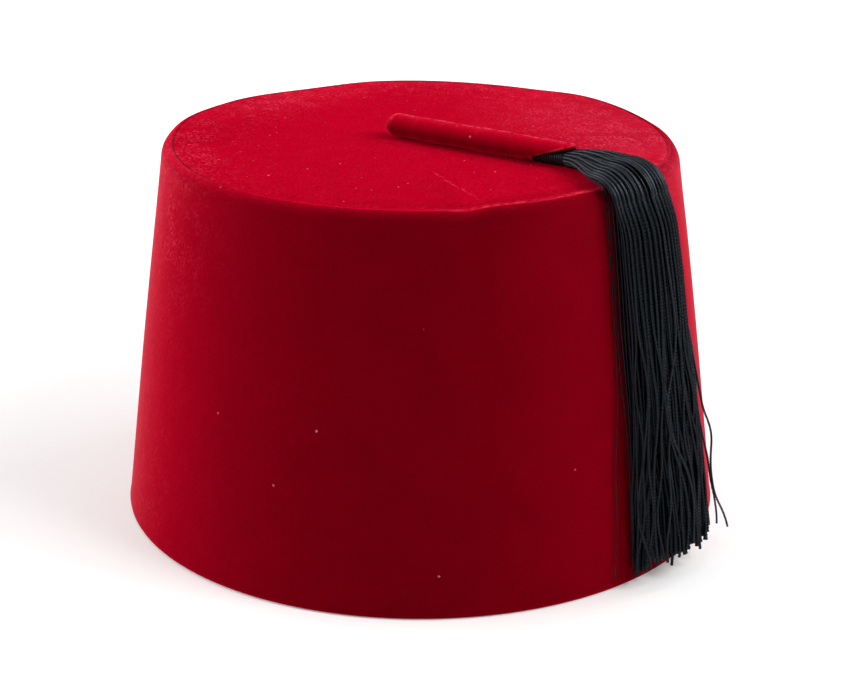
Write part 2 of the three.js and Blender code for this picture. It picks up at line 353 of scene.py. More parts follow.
def velvet_material():
    """Short dense red pile: dark seen straight on, bright at grazing angles, paler where worn or crushed,
    with painted sheen.
    """
    material, tree, shader = new_material("red_velvet")
    where = object_place(tree)
    facing = add_node(tree, "ShaderNodeLayerWeight", {"Blend": 0.5}).outputs["Facing"]
    normal = add_node(tree, "ShaderNodeNewGeometry").outputs["Normal"]
    upright = add_node(tree, "ShaderNodeSeparateXYZ", {0: normal}).outputs["Z"]
    level = ramp(tree, upright, 0.8, 0.97)

    grain = noise(tree, where, scale=1900.0, detail=3.0, roughness=0.7)
    cloud = noise(tree, where, scale=55.0, detail=3.0, roughness=0.55, distortion=0.4)
    tufts = noise(tree, where, scale=1100.0, detail=2.0, roughness=0.6)
    patches = noise(tree, where, scale=170.0, detail=3.0, roughness=0.6, distortion=0.3)
    shreds = noise(tree, where, scale=430.0, detail=3.0, roughness=0.7)
    colour = mix_colour(tree, ramp(tree, cloud, 0.3, 0.7), NAP_DARK, NAP_LIGHT)
    colour = mix_colour(tree, product(tree, ramp(tree, grain, 0.25, 0.75), 0.45), colour, NAP_GRAIN)
    # Painted light: the stem's front and upper side is made lighter
    colour = mix_colour(tree, mark_value(tree, "painted_light"), colour, NAP_PAINTED_LIGHT)

    wobble = ramp(tree, noise(tree, where, scale=260.0, detail=3.0, roughness=0.6), 0.2, 0.8, -0.5, 0.5)
    creases = 0.0
    for crease in CROWN_CREASES:
        creases = math_node(tree, "MAXIMUM", creases, crease_mask(tree, where, wobble, crease))
    creases = product(tree, creases, level)
    mottle = product(tree, ramp(tree, tufts, 0.48, 0.62), ramp(tree, patches, 0.40, 0.62, 0.12, 1.0))
    rubbed = math_node(tree, "ADD", mark_value(tree, "worn"), product(tree, creases, 1.2))
    everywhere = ramp(tree, upright, 0.5, 0.97, 0.035, 0.14)
    paler = product(tree, math_node(tree, "ADD", rubbed, everywhere), mottle)
    # Worn nap is paler, and more so at grazing angles, where that paleness is a painted sheen
    paler = product(tree, paler, ramp(tree, facing, 0.15, 0.6, 0.25, 1.0))
    # Painted sheen: evenly paler patches high on the side and on the crown's far side
    paler = math_node(tree, "ADD", paler, product(tree, mark_value(tree, "painted_sheen"), 0.22))
    colour = mix_colour(tree, paler, colour, NAP_WORN_AND_SHEEN)

    pleat = product(tree, crease_mask(tree, where, wobble, PLEAT_LINE), level)
    # Crushed nap at the pleat and seam, with a painted highlight along the seam's fold and the stem's ridge
    # and round end
    crushed_and_highlight = math_node(tree, "MAXIMUM", mark_value(tree, "crush_and_highlight"), pleat)
    colour = mix_colour(tree, product(tree, crushed_and_highlight, ramp(tree, shreds, 0.40, 0.60)), colour, NAP_CRUSHED_AND_HIGHLIGHT)

    lint_above = product(tree, lint_mask(tree, where, "2D", scale=210.0, size=0.055, left_out=0.91), level)
    lint_around = lint_mask(tree, where, "3D", scale=85.0, size=0.034, left_out=0.62)
    colour = mix_colour(tree, math_node(tree, "MAXIMUM", lint_above, lint_around), colour, LINT)
    # Painted sheen: the outermost pile turns pale at grazing angles, on the sides and the stem, not on the
    # crown's top
    painted_rim_sheen = ramp(tree, upright, 0.5, 0.98, 0.55, 0.0)
    painted_rim_sheen = math_node(tree, "MAXIMUM", painted_rim_sheen, mark_value(tree, "painted_rim_sheen"))
    outermost = product(tree, math_node(tree, "POWER", facing, 8.0), painted_rim_sheen)
    colour = mix_colour(tree, outermost, colour, NAP_PAINTED_RIM_SHEEN)

    set_inputs(tree, shader, {
        "Base Color": colour,
        "Normal": bump(tree, ramp(tree, upright, 0.5, 0.97, 0.35, 0.7), 0.00025, grain),
        "Roughness": 0.95,
        "Specular IOR Level": 0.0,
        "Sheen Weight": 0.86,
        "Sheen Roughness": 0.6,
        "Sheen Tint": NAP_SHEEN,
    })
    return material


def backing_material():
    """The plain woven back of the cloth, inside the hat."""
    material, tree, shader = new_material("red_backing")
    grain = noise(tree, object_place(tree), scale=900.0, detail=3.0, roughness=0.6)
    set_inputs(tree, shader, {
        "Base Color": mix_colour(tree, grain, BACK_DARK, BACK_LIGHT),
        "Normal": bump(tree, 0.4, 0.0003, grain),
        "Roughness": 0.9,
        "Specular IOR Level": 0.15,
    })
    return material


def thread_material():
    """Black twisted thread with a soft grey sheen, each cord a little different, with painted highlights in
    its colour.
    """
    material, tree, shader = new_material("black_thread")
    # Each cord's tone, which holds its painted highlights too
    own = mark_value(tree, "tone_and_highlight")
    fibre = noise(tree, object_place(tree), scale=2600.0, detail=2.0, roughness=0.6)
    colour = mix_colour(tree, own, THREAD_DARK, THREAD_LIGHT)
    colour = mix_colour(tree, ramp(tree, fibre, 0.45, 0.8, 0.0, 0.5), colour, THREAD_FIBRE)
    uneven = ramp(tree, fibre, 0.3, 0.7, 0.0, 0.14)
    set_inputs(tree, shader, {
        "Base Color": colour,
        "Normal": bump(tree, 0.5, 0.00012, fibre),
        "Roughness": math_node(tree, "ADD", uneven, ramp(tree, own, 0.0, 1.0, 0.30, 0.18)),
        "Specular IOR Level": 0.27,
        "Specular Tint": THREAD_GLOSS,
        "Sheen Weight": 0.02,
        "Sheen Roughness": 0.4,
        "Sheen Tint": THREAD_SHEEN,
    })
    return material


VELVET = velvet_material()
BACKING = backing_material()
THREAD = thread_material()


def make_camera():
    """The camera at the photograph's place."""
    data = bpy.data.cameras.new("camera")
    data.lens = CAMERA_LENS
    data.sensor_width = CAMERA_SENSOR
    data.clip_end = 20.0
    camera = bpy.data.objects.new("camera", data)
    turn = Matrix.Rotation(math.radians(CAMERA_TURN), 4, "Z")
    tilt = Matrix.Rotation(math.radians(90 - CAMERA_PITCH), 4, "X")
    roll = Matrix.Rotation(math.radians(CAMERA_ROLL), 4, "Z")
    spot = Matrix.Translation(Vector(place(CAMERA_PLACE)))
    camera.matrix_world = spot @ turn @ tilt @ roll
    bpy.context.scene.collection.objects.link(camera)
    bpy.context.scene.camera = camera


def make_floor():
    """A plain pale floor that glows a little by itself, and away from the hat so much that it looks white."""
    corners = [(-1, -1), (1, -1), (1, 1), (-1, 1)]
    mesh = bpy.data.meshes.new("floor")
    mesh.from_pydata([(x * FLOOR_HALF, y * FLOOR_HALF, 0) for x, y in corners], [], [(0, 1, 2, 3)])
    material, tree, shader = new_material("floor_white")
    away = add_node(tree, "ShaderNodeVectorMath", {0: object_place(tree)}, operation="LENGTH")
    share = ramp(tree, away.outputs["Value"], FLOOR_GLOW_FROM, FLOOR_GLOW_TO)
    set_inputs(tree, shader, {
        "Base Color": (0.83, 0.83, 0.83, 1),
        "Roughness": 0.8,
        "Emission Color": mix_colour(tree, share, (0.19, 0.19, 0.19, 1), (0.9, 0.9, 0.9, 1)),
        "Emission Strength": 1.0,
    })
    mesh.materials.append(material)
    floor = bpy.data.objects.new("floor", mesh)
    bpy.context.scene.collection.objects.link(floor)


def make_surround():
    """A world that is white to the camera and gives only a faint even light."""
    world = bpy.data.worlds.new("studio")
    bpy.context.scene.world = world
    world.use_nodes = True
    tree = world.node_tree
    tree.nodes.clear()
    seen = add_node(tree, "ShaderNodeBackground", {"Color": (1, 1, 1, 1), "Strength": 1.0})
    lit = add_node(tree, "ShaderNodeBackground", {"Color": (0.95, 0.97, 1, 1), "Strength": 0.03})
    by_camera = add_node(tree, "ShaderNodeLightPath").outputs["Is Camera Ray"]
    mixed = add_node(tree, "ShaderNodeMixShader", {0: by_camera, 1: lit.outputs[0], 2: seen.outputs[0]})
    add_node(tree, "ShaderNodeOutputWorld", {"Surface": mixed.outputs[0]})


def make_lights():
    """Soft lights from above, behind and both sides, all turned to the hat."""
    for name, (spot, size, power) in LIGHTS.items():
        data = bpy.data.lights.new(name, "AREA")
        data.shape = "RECTANGLE"
        data.size, data.size_y = size
        data.energy = power
        light = bpy.data.objects.new(name, data)
        light.location = spot
        light.rotation_euler = (Vector(HAT_MIDDLE) - Vector(spot)).to_track_quat("-Z", "Y").to_euler()
        bpy.context.scene.collection.objects.link(light)


# The velvet body
BODY_COLUMNS = 512
EDGE_DIP = 0.3
HEM_RADIUS = 1.1
SIDE_SWELL = 0.22
CROWN_SWELL = 0.16

# The folded edges at the seam: out from the corner's centre, or in from the crown's own edge, and down
SIDE_LIP = [(0.75, 0.10), (0.45, 0.12), (0.2, 0.15), (0.05, 0.22), (0.0, 0.6)]
CROWN_LIP = [(1.0, 0.0), (0.65, 0.0), (0.35, 0.0), (0.12, 0.04), (0.0, 0.16), (0.0, 1.4)]

# Where the nap is worn pale: azimuth, height or radius, their half widths, and how strongly
SIDE_WORN = [
    (-132, 104, 20, 20, 0.65),
    (-144, 60, 20, 75, 0.60),
    (-138, 14, 16, 20, 0.45),
    (24, 60, 16, 80, 0.35),
    (16, 112, 20, 12, 0.50),
]
CROWN_WORN = [
    (-135, 74, 24, 12, 0.90),
    (168, 68, 26, 15, 0.80),
    (120, 72, 30, 13, 0.55),
    (62, 56, 34, 28, 0.75),
    (30, 68, 22, 20, 0.80),
]

# Where a painted sheen makes it evenly paler, in the same columns
SIDE_PAINTED_SHEEN = [
    (-130, 116, 16, 8, 0.5),
    (165, 117, 40, 5, 0.7),
    (90, 117, 40, 5, 0.5),
    (16, 114, 22, 12, 0.6),
]
CROWN_PAINTED_SHEEN = [
    (168, 70, 24, 11, 0.60),
    (120, 76, 30, 8, 0.40),
    (62, 60, 34, 26, 0.85),
    (30, 70, 22, 18, 0.95),
]

# How crushed the seam's nap is, with a painted highlight: bright and ragged at the front right, hardly seen
# elsewhere
SEAM = {
    "azimuth": [-138, -128, -112, -104, -92, -58, -52, -49, -45, -43, -41, -34, -22, -12, 8, 12, 24, 34, 46],
    "crush_and_highlight": [0, 0.3, 0.35, 0, 0, 0.05, 0.2, 0.8, 0.8, 0.3, 0.8, 0.8, 1, 1, 0.4, 1, 0.8, 0.7, 0],
}

# The same across the seam, row by row of the mesh
SIDE_SEAM_ROWS = [0.3, 0.8, 1.0, 1.0, 0.7, 0.3]
CROWN_SEAM_ROWS = [0.3, 0.7, 1.0, 1.0, 0.7, 0.3]


def edge_dip(azimuth):
    """How far the crown's edge sinks below the side's lip: at the front only, and flush behind."""
    return EDGE_DIP * smooth(azimuth, -128, -100) * smooth(-azimuth, -26, -8)


def body_azimuths():
    return wrapped(np.arange(BODY_COLUMNS) * 360 / BODY_COLUMNS)


def turned_grid(profile):
    """Points of a profile of radius and height turned about the hat's axis, with the uneven edge."""
    azimuth = body_azimuths()
    radius, height = np.asarray(profile, float).T
    rise = edge_rise(azimuth)[None, :] * edge_share(radius, height)[:, None]
    angle = np.radians(azimuth)[None, :]
    x, y = radius[:, None] * np.cos(angle), radius[:, None] * np.sin(angle)
    return np.stack([x, y, height[:, None] + rise], -1)


def soft_waves(azimuth, across, seed, count=5):
    """A gentle unevenness round the hat, about one millimetre in all before it is scaled."""
    draw = np.random.default_rng(seed)
    total = np.zeros(np.broadcast(azimuth, across).shape)
    for turns in range(2, 2 + count):
        phase, drift = draw.uniform(0, 2 * math.pi, 2)
        total += np.sin(np.radians(azimuth) * turns + phase + across * 0.02 * math.cos(drift)) / count
    return total


def seam_crush_and_highlight(rows, first_row, strengths):
    """The crushed nap and painted highlight of a turned grid: none but in the rows along the seam, and there
    in uneven short lengths.
    """
    azimuth = body_azimuths()
    length = np.random.default_rng(21).uniform(0.25, 1.3, azimuth.shape)
    length = 0.5 * length + 0.25 * (np.roll(length, 1) + np.roll(length, -1))
    round_seam = np.interp(azimuth, SEAM["azimuth"], SEAM["crush_and_highlight"]) * np.clip(length, 0, 1)
    crush_and_highlight = np.zeros((rows, BODY_COLUMNS))
    crush_and_highlight[first_row : first_row + len(strengths)] = np.array(strengths)[:, None] * round_seam[None, :]
    return crush_and_highlight


def painted(patches, azimuth, across):
    """The sum of soft round patches over azimuth and a second coordinate."""
    total = 0.0 * azimuth + 0.0 * across
    for at_azimuth, at_across, azimuth_width, across_width, strength in patches:
        turn = wrapped(azimuth - at_azimuth) / azimuth_width
        total = total + strength * np.exp(-(turn ** 2) - ((across - at_across) / across_width) ** 2)
    return np.clip(total, 0, 1)


def arc(centre_radius, centre_height, radius, from_angle, to_angle, steps):
    """Points of radius and height on a circular arc."""
    angle = np.radians(np.linspace(from_angle, to_angle, steps))
    return [(centre_radius + radius * math.cos(a), centre_height + radius * math.sin(a)) for a in angle]


def make_side():
    """The velvet side: outer face, rolled edge, a folded lip at the seam, and the plain inside."""
    slope = math.degrees(SIDE_SLOPE)
    heights = np.concatenate([np.arange(2.5, 100, 1.6), np.arange(100, CORNER_HEIGHT, 1.0)])
    outside = [(float(side_radius(h)), float(h)) for h in heights]
    corner = arc(CORNER_CENTRE, CORNER_HEIGHT, CORNER_RADIUS, slope, 84, 14)
    lip = [(CORNER_CENTRE + outward, HEIGHT - down) for outward, down in SIDE_LIP]
    inner_corner = arc(CORNER_CENTRE, CORNER_HEIGHT, CORNER_RADIUS - WALL, 90, slope, 5)
    inside = [(float(side_radius(h)) - WALL, float(h)) for h in (104, 90, 75, 60, 45, 30, 16, 6, 2.5)]
    rim = arc(RIM_RADIUS - WALL + HEM_RADIUS, HEM_RADIUS, HEM_RADIUS, 180, 270, 5)
    rim += arc(RIM_RADIUS - HEM_RADIUS, HEM_RADIUS, HEM_RADIUS, 270, 360, 6)
    profile = outside + corner + lip + inner_corner + inside + rim
    rows = len(profile)
    grid = turned_grid(profile)

    azimuth = body_azimuths()[None, :]
    height = grid[..., 2]
    radius = np.hypot(grid[..., 0], grid[..., 1])
    swell = SIDE_SWELL * soft_waves(azimuth, height, seed=3) * smooth(height, 4, 30)
    swell = swell * (1 - 0.7 * smooth(height, 96, 112))
    grid[..., :2] *= ((radius + swell) / radius)[..., None]

    crush_and_highlight = seam_crush_and_highlight(rows, len(outside) + len(corner) - 2, SIDE_SEAM_ROWS)
    worn = painted(SIDE_WORN, azimuth, height)
    marks = {"crush_and_highlight": crush_and_highlight, "worn": worn, "painted_sheen": painted(SIDE_PAINTED_SHEEN, azimuth, height)}
    faces = loop_faces(rows, BODY_COLUMNS, closed_rows=True)
    side = mesh_object("side_velvet", grid.reshape(-1, 3), faces, [VELVET, BACKING], marks)
    inside_from = len(outside) + len(corner) + len(lip) + 1
    slots = np.zeros((rows, BODY_COLUMNS), int)
    slots[inside_from : inside_from + len(inner_corner) + len(inside)] = 1
    side.data.polygons.foreach_set("material_index", slots.ravel())
    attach(side, "root")
    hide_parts("side_wall")


def make_crown():
    """The crown's tip: velvet above, with its turned-in edge at the seam, and the plain back below."""
    edge = CORNER_CENTRE - 0.04
    under = HEIGHT - TIP_THICKNESS
    top_radii = np.concatenate([np.arange(2, 68, 2.0), np.arange(68, edge - 1.2, 0.8)])
    top = [(float(r), HEIGHT) for r in top_radii]
    lip = [(edge - inward, HEIGHT - down) for inward, down in CROWN_LIP]
    below = [(edge, under + 0.3), (edge - 0.4, under)]
    below += [(r, under) for r in (70.0, 60.0, 50.0, 36.0, 20.0, 6.0)]
    profile = top + lip + below
    rows = len(profile)
    grid = turned_grid(profile)

    azimuth = body_azimuths()[None, :]
    radius = np.hypot(grid[..., 0], grid[..., 1])
    row = np.arange(rows)[:, None]
    swell = CROWN_SWELL * soft_waves(azimuth, radius, seed=8) * smooth(radius, 20, 60)
    swell = swell * (1 - smooth(radius, 70, 76)) * (row < len(top))
    dip = edge_dip(azimuth) * smooth(radius, edge - 7, edge) * (row < len(top) + len(lip))
    grid[..., 2] += swell - dip

    marks = {
        "crush_and_highlight": seam_crush_and_highlight(rows, len(top) - 1, CROWN_SEAM_ROWS),
        "worn": painted(CROWN_WORN, azimuth, radius),
        "painted_sheen": painted(CROWN_PAINTED_SHEEN, azimuth, radius),
    }
    marks = {name: np.append(values.ravel(), [0, 0]) for name, values in marks.items()}
    points = np.vstack([grid.reshape(-1, 3), [(0, 0, HEIGHT), (0, 0, under)]])
    faces = [face[::-1] for face in pole_faces(rows, BODY_COLUMNS)]
    crown = mesh_object("crown_velvet", points, faces, [VELVET, BACKING], marks)
    slots = (np.arange(rows - 1) >= len(top) + len(lip)).astype(int)
    slots = np.repeat(np.append(slots, [0, 1]), BODY_COLUMNS)
    crown.data.polygons.foreach_set("material_index", slots)
    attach(crown, "root")
    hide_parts("crown_tip")


# The stem's velvet. Its ridge's widths are in degrees round it
STEM_AXIS_HEIGHT = HEIGHT + REST_GAP + STEM_RADIUS * STEM_SQUASH + STEM_PILE / 2
STEM_AROUND = 72
STEM_ALONG = 90
STEM_CAP_ROWS = 10
ROUND_END_ROWS = slice(4, 9)
RIDGE_WIDTH = 5.0
# Crushed nap with a painted highlight along the stem's ridge and round end, and paler nap at the mouth's lip
RIDGE_CRUSH_AND_HIGHLIGHT_WIDTH = 10.0
LIP_CRUSH_AND_HIGHLIGHT = 0.45
# Painted light on the stem's front and upper side
STEM_PAINTED_LIGHT = 0.75
STEM_WORN = 0.03
# Painted rim sheen at the stem's outline
STEM_PAINTED_RIM_SHEEN = 0.3

# The lip round the sleeve's mouth: how far past the mouth's edge along X, and past the stem's radius
MOUTH_LIP = [(0.0, 0.1), (0.02, -0.3), (-0.15, -0.7), (-0.6, -SLEEVE_WALL)]


def stem_point(x, angle, radius):
    """A point of the stem at x, round it by angle from straight down towards the front."""
    y = STEM_OFFSET - radius * np.sin(angle)
    z = STEM_AXIS_HEIGHT - radius * STEM_SQUASH * np.cos(angle)
    return np.stack(np.broadcast_arrays(x, y, z), -1)


def mouth_end(angle):
    """Where the sleeve ends along X, round its aslant mouth."""
    rise = (1 - np.cos(angle)) / 2
    return MOUTH_BACK + (STEM_OUTER_END - MOUTH_BACK) * rise ** 1.15


def stem_lumps(x, angle):
    """The sleeve's slight unevenness."""
    phase = np.random.default_rng(5).uniform(0, 6.28, 3)
    lumps = 0.07 * np.sin(x * 0.31 + phase[0]) + 0.05 * np.sin(x * 0.83 + phase[1])
    return lumps + 0.05 * np.sin(2 * angle + x * 0.12 + phase[2])


def make_stem():
    """The rolled velvet sleeve with a closed round end and an aslant open mouth."""
    angle = np.linspace(0, 2 * math.pi, STEM_AROUND, endpoint=False)[None, :]
    turned = np.degrees(angle)
    from_ridge = turned - STEM_RIDGE_ANGLE
    ridge = STEM_RIDGE * np.exp(-((from_ridge / RIDGE_WIDTH) ** 2))
    end = mouth_end(angle)
    hollow_end = STEM_OUTER_END - SLEEVE_DEPTH
    cap = np.sin(np.linspace(0.05, math.pi / 2, STEM_CAP_ROWS))[:, None]
    cap_x = STEM_INNER_END + STEM_RADIUS * (1 - np.sqrt(1 - cap ** 2))
    share = np.linspace(0, 1, STEM_ALONG)[1:, None]
    body_x = STEM_INNER_END + STEM_RADIUS + share * (end - 0.35 - STEM_INNER_END - STEM_RADIUS)
    lumps = stem_lumps(body_x, angle) + STEM_PILE + ridge
    hollow_start = end + MOUTH_LIP[-1][0]
    depth = np.linspace(0.15, 1, 8)[:, None]
    inner_x = hollow_start - depth * (hollow_start - hollow_end)

    capped = stem_point(cap_x, angle, (STEM_RADIUS + STEM_PILE + ridge) * cap)
    body = stem_point(body_x, angle, STEM_RADIUS + lumps)
    lip = [stem_point(end + past, angle, STEM_RADIUS + out) for past, out in MOUTH_LIP]
    inner = stem_point(inner_x, angle, STEM_RADIUS - SLEEVE_WALL)
    grid = np.concatenate([capped, body, *lip, inner])
    poles = [stem_point(STEM_INNER_END, 0.0, 0.0), stem_point(hollow_end, 0.0, 0.0)]
    points = np.vstack([grid.reshape(-1, 3), poles])
    faces = [face[::-1] for face in pole_faces(len(grid), STEM_AROUND)]

    crush_and_highlight = np.zeros(grid.shape[:2])
    lip_from = len(capped) + len(body)
    # Crushed nap with a painted highlight along the ridge and round the round end's upper outline, and paler
    # nap at the mouth's lip
    crush_and_highlight[:lip_from] = np.exp(-((from_ridge / RIDGE_CRUSH_AND_HIGHLIGHT_WIDTH) ** 2))
    round_end = LIP_CRUSH_AND_HIGHLIGHT * smooth(turned, 90, 150) * smooth(-turned, -260, -220)
    crush_and_highlight[ROUND_END_ROWS] = np.maximum(crush_and_highlight[ROUND_END_ROWS], round_end)
    crush_and_highlight[lip_from - 2 : lip_from + 3] = LIP_CRUSH_AND_HIGHLIGHT
    # Painted light: lighter round the stem from low at the front up to its top
    painted_light = STEM_PAINTED_LIGHT * smooth(turned, 60, 125) * smooth(-turned, -190, -165) + np.zeros(crush_and_highlight.shape)
    worn, painted_rim_sheen = np.full_like(crush_and_highlight, STEM_WORN), np.full_like(crush_and_highlight, STEM_PAINTED_RIM_SHEEN)
    marks = {"crush_and_highlight": crush_and_highlight, "painted_light": painted_light, "worn": worn, "painted_rim_sheen": painted_rim_sheen}
    marks = {name: np.append(values.ravel(), [0, 0]) for name, values in marks.items()}
    stem = mesh_object("stem_velvet", points, faces, [VELVET], marks)
    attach(stem, "root")
    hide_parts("stem")


# The tassel's neck
NECK_RADIUS = 2.3
NECK_START = 43.6
NECK_END = 60.0
NECK_HEIGHT = HEIGHT + REST_GAP + NECK_RADIUS + 0.25
NECK_CORE_SIDES = 24
WINDING_RADIUS = 0.4
WINDING_PITCH = 0.78
WINDING_STEPS = 30
WINDING_SIDES = 6

# The core of the neck, as places along X and radii
NECK_CORE = [
    (NECK_START, 0.4),
    (NECK_START + 0.1, 1.2),
    (NECK_START + 0.5, 1.8),
    (NECK_END, 1.8),
    (NECK_END + 1, 1.0),
]

# The tassel's cords: a bundle, of which the ones that show are twisted, and loose ones over it
CORD_RADIUS = 0.57
CORD_COUNT = 138
SHOWN_CORDS = 84
CLUMPS = 11
LOOSE_CORDS = 16
PLIES = 3
PLY_VALLEY = 0.7
LAY_LENGTH = (2.9, 3.5)
CORD_STEP = 0.38
PLAIN_STEP = 2.0
FULL_SECTION = 50.0
PARTING_PLACE = -0.62
PARTING_WIDTH = 5.0
COURSE_START = 56.0
SLICE = 2.5

# Where along the cloth the bundle loosens, parts and lies flat, and where its loose cords wander and even out
LOOSENS = (34, 125)
PARTS = (96, 124)
LIES_FLAT = (92, 120)
WANDER = (40, 110)
EVEN_OUT = (8, 24)

# How long the cords are: clumps and single cords vary, a few are longer, and the higher ones end sooner
CORD_LENGTH = 140.0
CLUMP_END = (-1.6, 1.0)
OWN_END = (-1.7, 0.8)
LONGER_SHARE = 0.05
LONGER_BY = 2.6
LONGEST_CORD = 141.0
SOONER = 0.45

# The cords' sizes, tones and painted highlights: near the neck the loose ones are in turn low and dark, or
# proud and painted bright
CORD_SIZE = (0.9, 1.04)
LEAST_SIZE = 0.6
LOOSE_LEAST_SIZE = 0.8
OWN_TONE = 0.36
BEND_PAINTED_HIGHLIGHT = 1.9
LOOSE_PAINTED_HIGHLIGHT = (0.0, 1.0)
LOOSE_LIFT = (-0.4, 1.4)
LOOSE_LIFT_BELOW = 0.9

# How the cords are pushed apart, drawn back to their own places and kept straight, in many small steps, of
# which the last ones let them settle
PUSHING_STEPS = 100
SETTLING_STEPS = 20
PUSH = 0.4
DRAW_BACK = 0.03
STIFFNESS = 0.25
SETTLING_STIFFNESS = 0.08

# The bundle's course, an ellipse in section. distance is the length along the cloth from COURSE_START on the
# crown, middle the azimuth of the bundle's middle, half its half width, level its middle's height above the
# cloth and deep half its depth. The grid and the blur round off the corners of its values
COURSE = {
    "distance": [0.0, 4.0, 8.0, 14.0, 21.0, 27.0, 35.0, 50.0, 70.0, 94.0, 120.0, 145.0],
    "middle": [-3.2, -3.3, -3.9, -5.6, -7.2, -6.6, -5.6, -5.5, -5.2, -4.8, -5.0, -5.4],
    "half": [2.2, 4.2, 6.5, 9.5, 11.4, 12.0, 12.2, 12.6, 12.8, 15.2, 17.6, 18.4],
    "level": [2.4, 2.8, 3.1, 3.4, 3.3, 4.1, 4.9, 5.2, 5.2, 5.4, 5.5, 5.4],
    "deep": [1.9, 2.2, 2.4, 2.6, 2.6, 3.2, 4.0, 4.6, 4.7, 4.9, 5.0, 5.0],
}
COURSE_GRID = np.arange(-8.0, 154.0)
COURSE_BLUR = np.hanning(11) / np.hanning(11).sum()

# Cords that hang apart from the bundle, as distance along the cloth, azimuth and height above the cloth
LEFT_DISTANCES = [0, 6, 13, 20, 25, 30, 40, 52, 64, 76, 88, 100, 112, 124]
STRAYS = {
    "left_outer": {
        "radius": 0.2,
        "distance": [0, 6, 13, 20, 25, 29, 38, 50, 61, 72, 84, 92, 99, 106, 116, 124, 129, 134, 139],
        "azimuth": [
            -3.8, -7.4, -11.0, -13.6, -15.0, -14.9, -14.8, -14.8, -14.9, -14.9,
            -15.2, -15.7, -16.4, -16.9, -17.0, -17.1, -17.6, -18.2, -18.8,
        ],
        "above": [
            2.0, 1.4, 0.9, 0.7, 0.6, 0.7, 0.8, 0.9, 0.9, 0.9,
            0.9, 0.9, 0.9, 0.9, 0.9, 1.0, 1.1, 1.2, 1.3,
        ],
    },
    "left_second": {
        "radius": 0.22,
        "distance": [*LEFT_DISTANCES, 136],
        "azimuth": [
            -3.7, -7.2, -10.7, -13.2, -14.6, -14.4, -14.3, -14.2,
            -14.4, -14.2, -14.1, -14.3, -14.9, -15.3, -15.6,
        ],
        "above": [2.2, 1.8, 1.3, 1.0, 0.9, 0.9, 0.9, 0.9, 0.9, 1.0, 1.6, 2.6, 3.4, 3.8, 4.0],
    },
    "left_third": {
        "radius": 0.4,
        "distance": [*LEFT_DISTANCES, 136],
        "azimuth": [
            -3.6, -7.0, -10.2, -12.6, -13.5, -13.3, -13.1, -13.1,
            -13.2, -13.0, -12.8, -12.9, -13.2, -13.8, -14.4,
        ],
        "above": [2.2, 1.8, 1.3, 1.1, 1.0, 1.0, 1.0, 1.0, 1.0, 1.1, 1.3, 1.5, 1.6, 1.7, 1.8],
    },
    "left_fourth": {
        "radius": 0.45,
        "distance": [*LEFT_DISTANCES, 133],
        "azimuth": [
            -3.4, -6.5, -9.5, -11.9, -12.8, -12.5, -12.2, -12.2,
            -12.4, -12.3, -12.3, -12.6, -13.0, -13.0, -13.2,
        ],
        "above": [2.4, 2.0, 1.6, 1.3, 1.2, 1.2, 1.2, 1.2, 1.2, 1.2, 1.3, 1.4, 1.5, 1.6, 1.7],
    },
    "right_long": {
        "radius": 0.4,
        "distance": [0, 14, 27, 50, 70, 83, 96, 100, 104, 107, 111, 115, 119, 124, 129, 133, 139],
        "azimuth": [-2.8, 0.4, 1.0, 1.6, 2.0, 3.2, 4.3, 5.6, 6.4, 6.3, 5.2, 4.9, 4.9, 5.4, 7.2, 8.9, 10.4],
        "above": [3.2, 4.4, 5.2, 7.0, 7.8, 8.5, 9.0, 9.3, 9.6, 9.7, 9.7, 9.7, 9.8, 9.9, 10.0, 10.0, 10.2],
    },
    "right_short": {
        "radius": 0.38,
        "distance": [0, 14, 27, 50, 70, 83, 96, 104, 113, 118, 122, 126, 131, 135, 138],
        "azimuth": [-2.8, 0.8, 1.6, 2.2, 2.6, 3.6, 3.4, 4.0, 5.6, 5.8, 6.4, 7.8, 9.0, 10.1, 10.3],
        "above": [3.0, 4.0, 4.6, 6.0, 6.8, 7.4, 8.0, 8.4, 8.5, 8.5, 8.4, 8.0, 7.5, 7.0, 6.6],
    },
    "right_looped": {
        "radius": 0.42,
        "distance": [0, 14, 27, 50, 66, 74, 80, 86, 92, 98, 108, 118, 128, 137],
        "azimuth": [-2.8, 1.2, 2.2, 2.6, 3.0, 4.0, 4.4, 4.6, 4.2, 4.4, 6.0, 6.6, 7.0, 8.0],
        "above": [2.8, 3.6, 4.2, 5.4, 6.6, 7.0, 7.2, 7.2, 7.0, 6.6, 6.4, 6.2, 6.0, 5.6],
    },
    "right_bowed": {
        "radius": 0.42,
        "distance": [0, 14, 27, 50, 70, 84, 92, 100, 110, 120, 130, 140],
        "azimuth": [-2.8, 1.0, 2.0, 2.4, 2.6, 3.2, 4.6, 5.6, 5.4, 5.0, 6.0, 5.8],
        "above": [2.4, 3.0, 3.6, 4.6, 5.8, 6.6, 6.8, 6.6, 6.0, 5.8, 5.6, 5.6],
    },
}
STRAY_LAY = 2.2
STRAY_TONE = 0.1


